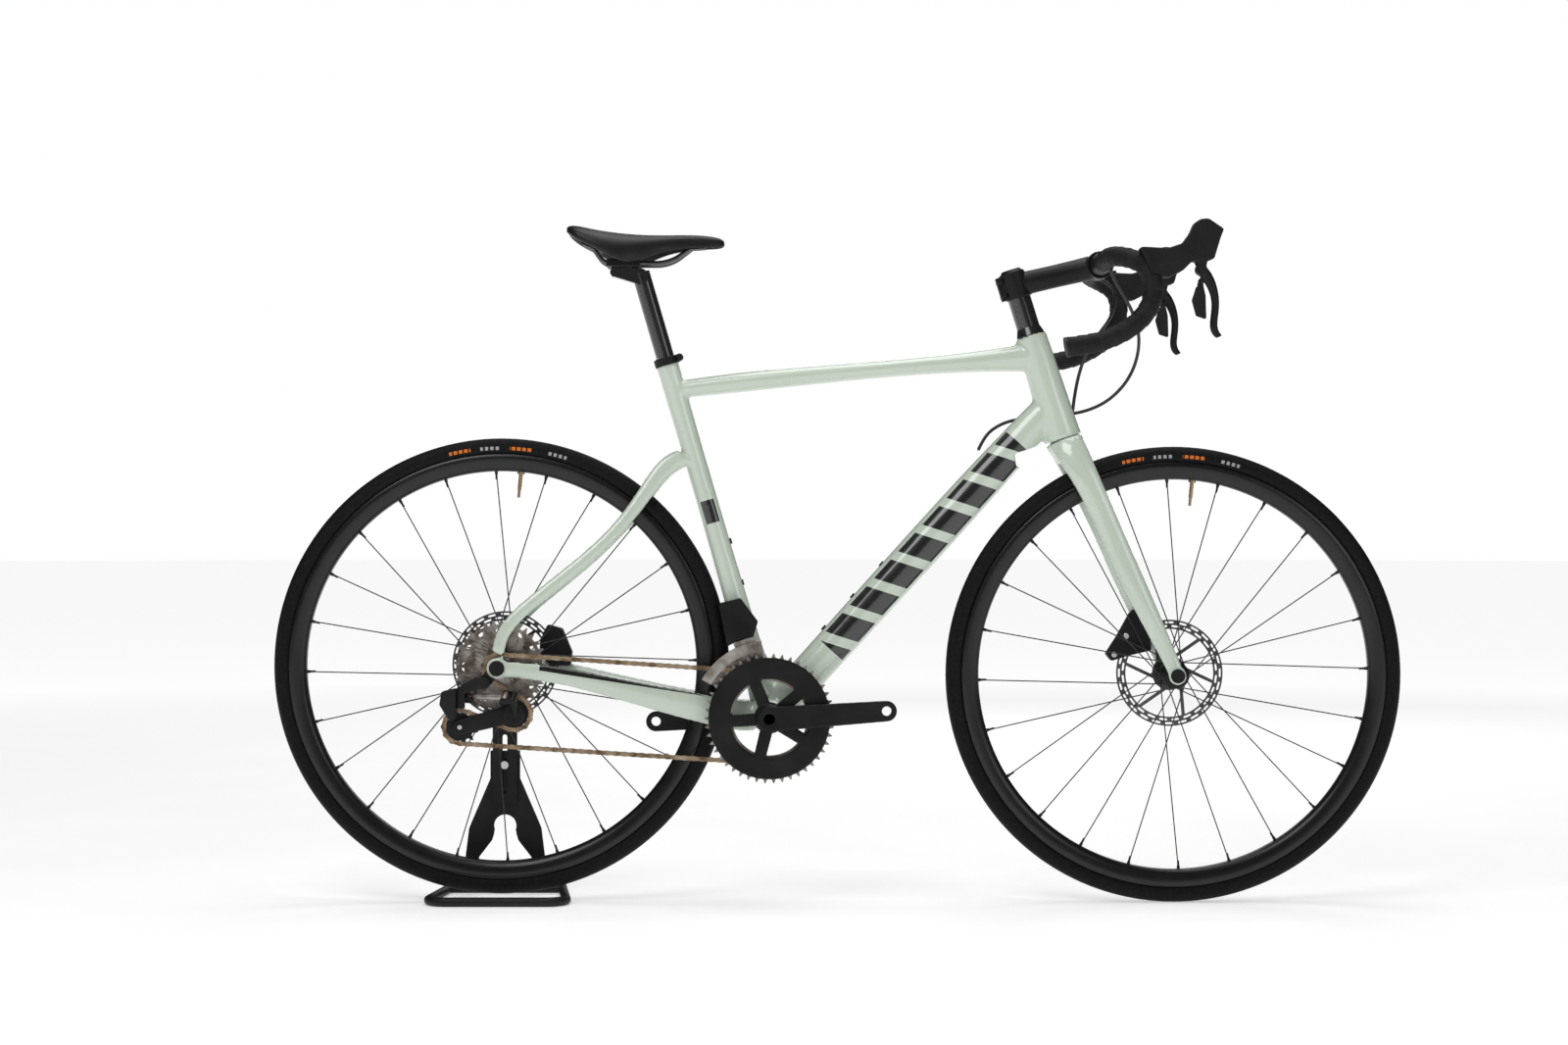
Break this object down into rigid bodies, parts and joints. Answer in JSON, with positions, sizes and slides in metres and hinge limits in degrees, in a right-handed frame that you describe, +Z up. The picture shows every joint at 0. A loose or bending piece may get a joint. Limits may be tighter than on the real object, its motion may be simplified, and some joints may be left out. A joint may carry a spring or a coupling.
{
  "type": "bicycle on stand",
  "caption": "Drop-bar road bicycle with disc brakes and a derailleur drive, held by its rear axle on a low looped steel display stand.",
  "frame": {"origin": "on the floor, midway between the two wheels, in the bicycle's mid-plane", "axes": "+X forwards, +Y to the rider's left, +Z up; the drive side faces -Y"},
  "size_m": [1.678, 0.4692, 1.0069],
  "materials": {
    "frame_paint": "gloss lacquer over carbon laminate",
    "black_alloy": "black anodised",
    "black_carbon": "satin carbon laminate",
    "black_plastic": "matte moulded",
    "tyre": "matte rubber",
    "hood_rubber": "matte rubber",
    "bar_tape": "wrapped tape",
    "saddle_cover": "satin cover",
    "spoke_steel": "dark steel",
    "worn_steel": "oiled steel",
    "chain_steel": "oiled, dusty steel",
    "bolt_steel": "plain steel",
    "stand_paint": "satin powder coat"
  },
  "bodies": {
    "stand": {"stand_base": "stand_paint", "stand_upright": "stand_paint", "stand_bolt": "bolt_steel"},
    "stand_post": {"stand_post": "stand_paint"},
    "bike": {"frame": "frame_paint", "bottom_bracket_cups": "black_alloy", "seat_clamp": "black_alloy", "frame_bolts": "bolt_steel", "headset_bearings": "spoke_steel", "rear_thru_axle": "black_alloy", "derailleur_hanger": "black_alloy", "rear_caliper": "black_alloy", "rear_brake_hose": "hood_rubber", "chain": "chain_steel", "fd_motor": "black_alloy", "rd_mount": "black_alloy", "rd_battery": "black_plastic"},
    "seat": {"seatpost": "black_alloy", "saddle_clamp": "black_alloy", "saddle_rails": "black_carbon", "saddle_shell": "black_plastic", "saddle_cover": "saddle_cover"},
    "steering": {"fork": "frame_paint", "headset_spacers": "black_alloy", "stem": "black_alloy", "stem_faceplate": "black_alloy", "steering_bolts": "bolt_steel", "handlebar": "black_alloy", "bar_tape": "bar_tape", "bar_end_plugs": "black_plastic", "brake_hoods": "hood_rubber", "front_thru_axle": "black_alloy", "front_caliper": "black_alloy", "front_brake_hose": "hood_rubber"},
    "lever_left": {"brake_lever_left": "black_alloy"},
    "lever_right": {"brake_lever_right": "black_alloy"},
    "paddle_left": {"shift_paddle_left": "black_plastic"},
    "paddle_right": {"shift_paddle_right": "black_plastic"},
    "front_wheel": {"front_tyre": "tyre", "front_rim": "black_carbon", "front_spokes": "spoke_steel", "front_hub": "black_alloy", "front_rotor": "spoke_steel"},
    "rear_wheel": {"rear_tyre": "tyre", "rear_rim": "black_carbon", "rear_spokes": "spoke_steel", "rear_hub": "black_alloy", "rear_rotor": "spoke_steel"},
    "cassette": {"cassette": "worn_steel", "freehub_body": "worn_steel"},
    "crank": {"crank_right": "black_alloy", "chainring_inner": "worn_steel", "chainring_outer": "worn_steel", "crank_left": "black_alloy"},
    "fd_cage": {"fd_cage": "worn_steel"},
    "rd_links": {"rd_links": "worn_steel"},
    "rd_knuckle": {"rd_knuckle": "black_alloy"},
    "rd_cage": {"rd_cage": "black_alloy"},
    "rd_pulley_upper": {"rd_pulley_upper": "black_plastic"},
    "rd_pulley_lower": {"rd_pulley_lower": "black_plastic"}
  },
  "joints": [
    {"name": "stand_height", "type": "slide", "parent": "stand", "child": "stand_post", "axis": [0, 0, 1], "range_m": [0, 0.04]},
    {"name": "bike_pivot", "type": "hinge", "parent": "stand_post", "child": "bike", "pos_m": [-0.5, 0, 0.3513], "axis": [0, -1, 0], "range_deg": [0, 20]},
    {"name": "seat_height", "type": "slide", "parent": "bike", "child": "seat", "axis": [-0.2788, 0, 0.9603], "range_m": [-0.04, 0.04]},
    {"name": "steering_turn", "type": "hinge", "parent": "bike", "child": "steering", "pos_m": [0.33625, 0, 0.68988], "axis": [-0.2974, 0, 0.9548], "range_deg": [-60, 60], "deforming": ["rear_brake_hose"]},
    {"name": "front_wheel_spin", "type": "hinge", "parent": "steering", "child": "front_wheel", "pos_m": [0.5, 0, 0.339], "axis": [0, 1, 0], "continuous": true},
    {"name": "rear_wheel_spin", "type": "hinge", "parent": "bike", "child": "rear_wheel", "pos_m": [-0.5, 0, 0.3513], "axis": [0, 1, 0], "continuous": true},
    {"name": "crank_spin", "type": "hinge", "parent": "bike", "child": "crank", "pos_m": [-0.10099, 0, 0.2763], "axis": [0, 1, 0], "continuous": true, "deforming": ["chain"]},
    {"name": "cassette_spin", "type": "hinge", "parent": "bike", "child": "cassette", "pos_m": [-0.5, 0, 0.3513], "axis": [0, 1, 0], "continuous": true, "deforming": ["chain"]},
    {"name": "front_derailleur_shift", "type": "slide", "parent": "bike", "child": "fd_cage", "axis": [0, -1, 0], "range_m": [0, 0.006], "deforming": ["chain"]},
    {"name": "rear_derailleur_shift", "type": "hinge", "parent": "bike", "child": "rd_links", "pos_m": [-0.53721, -0.07572, 0.31072], "axis": [0.2537, 0.6428, 0.7228], "range_deg": [0, 56], "deforming": ["chain"]},
    {"name": "rear_derailleur_knuckle", "type": "hinge", "parent": "rd_links", "child": "rd_knuckle", "pos_m": [-0.4859, -0.0955, 0.3103], "axis": [0.2537, 0.6428, 0.7228], "range_deg": [-56, 0]},
    {"name": "pulley_cage_swing", "type": "hinge", "parent": "rd_knuckle", "child": "rd_cage", "pos_m": [-0.475, -0.0663, 0.2848], "axis": [0, -1, 0], "range_deg": [0, 70], "stiffness_Nm_per_rad": 0.3, "springref_deg": -34.38, "deforming": ["chain"]},
    {"name": "upper_pulley_spin", "type": "hinge", "parent": "rd_cage", "child": "rd_pulley_upper", "pos_m": [-0.475, -0.0663, 0.2848], "axis": [0, 1, 0], "continuous": true},
    {"name": "lower_pulley_spin", "type": "hinge", "parent": "rd_cage", "child": "rd_pulley_lower", "pos_m": [-0.55464, -0.0663, 0.26528], "axis": [0, 1, 0], "continuous": true},
    {"name": "left_brake_lever", "type": "hinge", "parent": "steering", "child": "lever_left", "pos_m": [0.51146, 0.211, 0.92299], "axis": [0, 1, 0], "range_deg": [0, 16], "stiffness_Nm_per_rad": 0.8, "springref_deg": -6.88},
    {"name": "left_shift_paddle", "type": "hinge", "parent": "lever_left", "child": "paddle_left", "pos_m": [0.51146, 0.202, 0.90299], "axis": [-1, 0, 0], "range_deg": [0, 8], "stiffness_Nm_per_rad": 0.3, "springref_deg": -4.58},
    {"name": "right_brake_lever", "type": "hinge", "parent": "steering", "child": "lever_right", "pos_m": [0.51146, -0.211, 0.92299], "axis": [0, 1, 0], "range_deg": [0, 16], "stiffness_Nm_per_rad": 0.8, "springref_deg": -6.88},
    {"name": "right_shift_paddle", "type": "hinge", "parent": "lever_right", "child": "paddle_right", "pos_m": [0.51146, -0.202, 0.90299], "axis": [1, 0, 0], "range_deg": [0, 8], "stiffness_Nm_per_rad": 0.3, "springref_deg": -4.58}
  ],
  "couplings": [
    {"joint": "cassette_spin", "follows": "crank_spin", "ratio": 3.3},
    {"joint": "upper_pulley_spin", "follows": "crank_spin", "ratio": -2.75},
    {"joint": "lower_pulley_spin", "follows": "crank_spin", "ratio": 2.75},
    {"joint": "rear_derailleur_knuckle", "follows": "rear_derailleur_shift", "ratio": -1}
  ]
}
